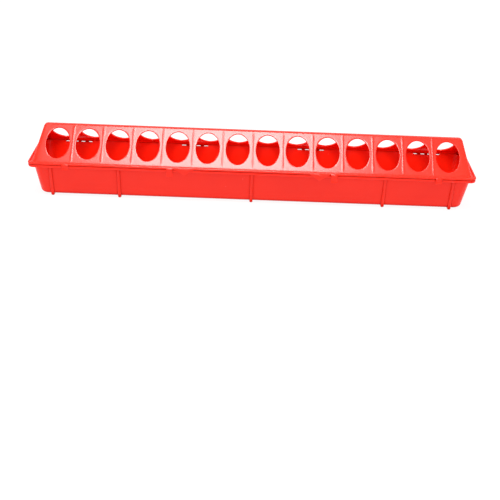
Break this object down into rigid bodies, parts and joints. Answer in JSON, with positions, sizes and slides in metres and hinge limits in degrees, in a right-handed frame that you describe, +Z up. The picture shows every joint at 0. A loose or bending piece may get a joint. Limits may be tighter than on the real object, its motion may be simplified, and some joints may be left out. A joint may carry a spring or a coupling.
{
  "type": "trough feeder",
  "caption": "Long flip-top poultry trough feeder: tapered trough on wrap-round support ribs, with a hinged roof-shaped lid of oval feeding holes, snap catches and thumb tabs.",
  "frame": {"origin": "centre of the footprint, on the surface that the feeder stands on", "axes": "+X along the trough, -Y the front with the thumb tabs, +Y the hinge side, +Z up"},
  "size_m": [0.5, 0.094, 0.0753],
  "materials": {
    "trough_plastic": "glossy injection-moulded polypropylene, red",
    "lid_plastic": "glossy injection-moulded polypropylene, red"
  },
  "bodies": {
    "trough": {"trough": "trough_plastic", "support_rib_1": "trough_plastic", "support_rib_2": "trough_plastic", "support_rib_3": "trough_plastic", "support_rib_4": "trough_plastic", "support_rib_5": "trough_plastic", "hinge_pin_1": "trough_plastic", "hinge_pin_2": "trough_plastic", "hinge_pin_3": "trough_plastic", "hinge_pin_4": "trough_plastic"},
    "lid": {"lid": "lid_plastic", "hinge_clip_1": "lid_plastic", "hinge_clip_2": "lid_plastic", "hinge_clip_3": "lid_plastic", "hinge_clip_4": "lid_plastic", "snap_catch_1": "lid_plastic", "snap_catch_2": "lid_plastic", "snap_catch_3": "lid_plastic", "snap_catch_4": "lid_plastic", "thumb_tab_1": "lid_plastic", "thumb_tab_2": "lid_plastic"}
  },
  "joints": [
    {"name": "lid_hinge", "type": "hinge", "parent": "trough", "child": "lid", "pos_m": [0, 0.04395, 0.0395], "axis": [-1, 0, 0], "range_deg": [0, 180]}
  ]
}
